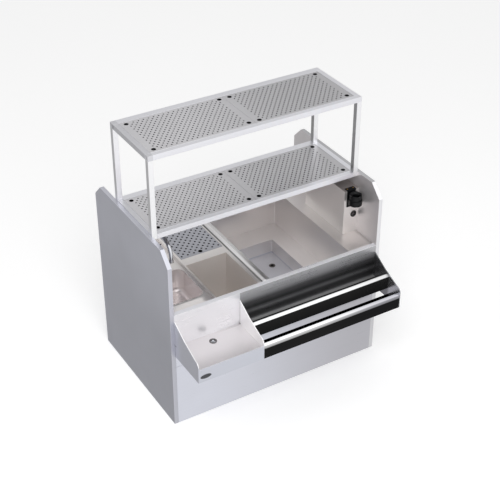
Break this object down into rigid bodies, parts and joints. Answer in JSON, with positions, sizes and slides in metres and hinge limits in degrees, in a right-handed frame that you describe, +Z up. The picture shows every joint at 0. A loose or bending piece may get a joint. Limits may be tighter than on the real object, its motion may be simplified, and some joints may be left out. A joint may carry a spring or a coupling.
{
  "type": "bar sink with ice bin",
  "caption": "Underbar stainless station: hand sink with faucet, bottle well, drain insert, stepped ice bin, front dump basin and bottle rail, gun holster and perforated two-tier overshelf.",
  "frame": {"origin": "on the floor, at the middle of the plan box", "axes": "+X to the right as seen from the front, +Y to the back, +Z up; the front faces -Y"},
  "size_m": [1.3716, 1.1492, 1.615],
  "materials": {
    "cabinet_steel": "brushed",
    "front_steel": "fine brushed",
    "deck_steel": "brushed",
    "shelf_steel": "brushed",
    "shelf_insert_steel": "matt perforated sheet",
    "chrome_plate": "polished",
    "brass": "machined",
    "black_plastic": "satin moulded",
    "black_rubber": "matt",
    "dark_plate": "plain satin",
    "foam": "rigid foam",
    "bolt_steel": "plain"
  },
  "bodies": {
    "cabinet": {"left_side_panel": "cabinet_steel", "right_side_panel": "cabinet_steel", "back_panel": "cabinet_steel", "base_front_rail": "cabinet_steel", "base_rear_rail": "cabinet_steel", "front_access_panel": "front_steel", "front_upper_panel": "front_steel", "front_apron": "front_steel", "sink_deck": "deck_steel", "sink_bowl": "deck_steel", "sink_drain": "chrome_plate", "sink_drain_nut": "brass", "faucet_base": "chrome_plate", "faucet_nuts": "brass", "center_deck": "deck_steel", "bottle_well": "deck_steel", "drip_pan": "deck_steel", "bin_bar": "front_steel", "ice_bin_liner": "deck_steel", "ice_bin_foam": "foam", "ice_bin_shell": "cabinet_steel", "ice_bin_drain": "chrome_plate", "bin_deck": "deck_steel", "right_landing": "deck_steel", "riser_box": "deck_steel", "hose_grommet": "black_rubber", "holster_bracket": "black_plastic", "holster_cup": "black_plastic", "drip_cup": "black_plastic", "holster_screws": "brass", "dump_basin": "front_steel", "basin_drain": "chrome_plate", "basin_drain_nut": "brass", "rear_trough": "front_steel", "front_trough": "front_steel", "rail_end_wall": "front_steel", "oval_plate": "dark_plate", "post_front_left": "shelf_steel", "post_front_right": "shelf_steel", "post_back_left": "shelf_steel", "post_back_right": "shelf_steel", "lower_front_rail": "shelf_steel", "lower_back_rail": "shelf_steel", "lower_cross_bars": "shelf_steel", "upper_front_rail": "shelf_steel", "upper_back_rail": "shelf_steel", "upper_cross_bars": "shelf_steel", "shelf_brackets": "shelf_steel", "bracket_bolts": "bolt_steel"},
    "spout": {"faucet_spout": "chrome_plate", "faucet_aerator": "chrome_plate"},
    "hot_handle": {"hot_lever": "chrome_plate"},
    "cold_handle": {"cold_lever": "chrome_plate"},
    "sink_strainer_lift": {"sink_strainer": "chrome_plate"},
    "basin_strainer_lift": {"basin_strainer": "chrome_plate"},
    "drain_tray": {"drain_insert": "deck_steel"},
    "lower_left_tray": {"lower_left_insert": "shelf_insert_steel"},
    "lower_right_tray": {"lower_right_insert": "shelf_insert_steel"},
    "upper_left_tray": {"upper_left_insert": "shelf_insert_steel"},
    "upper_right_tray": {"upper_right_insert": "shelf_insert_steel"}
  },
  "joints": [
    {"name": "spout_swivel", "type": "hinge", "parent": "cabinet", "child": "spout", "pos_m": [-0.5268, 0.2466, 0.775], "axis": [0, 0, 1], "range_deg": [-24, 90]},
    {"name": "hot_turn", "type": "hinge", "parent": "cabinet", "child": "hot_handle", "pos_m": [-0.5776, 0.2466, 0.777], "axis": [0, 0, 1], "range_deg": [-90, 0]},
    {"name": "cold_turn", "type": "hinge", "parent": "cabinet", "child": "cold_handle", "pos_m": [-0.476, 0.2466, 0.777], "axis": [0, 0, 1], "range_deg": [0, 90]},
    {"name": "sink_strainer_out", "type": "slide", "parent": "cabinet", "child": "sink_strainer_lift", "axis": [0, 0, 1], "range_m": [0, 0.25]},
    {"name": "basin_strainer_out", "type": "slide", "parent": "cabinet", "child": "basin_strainer_lift", "axis": [0, 0, 1], "range_m": [0, 0.25]},
    {"name": "drain_insert_out", "type": "slide", "parent": "cabinet", "child": "drain_tray", "axis": [0, 0, 1], "range_m": [0, 0.12]},
    {"name": "lower_left_insert_out", "type": "slide", "parent": "cabinet", "child": "lower_left_tray", "axis": [0, 0, 1], "range_m": [0, 0.4]},
    {"name": "lower_right_insert_out", "type": "slide", "parent": "cabinet", "child": "lower_right_tray", "axis": [0, 0, 1], "range_m": [0, 0.4]},
    {"name": "upper_left_insert_out", "type": "slide", "parent": "cabinet", "child": "upper_left_tray", "axis": [0, 0, 1], "range_m": [0, 0.3]},
    {"name": "upper_right_insert_out", "type": "slide", "parent": "cabinet", "child": "upper_right_tray", "axis": [0, 0, 1], "range_m": [0, 0.3]}
  ]
}
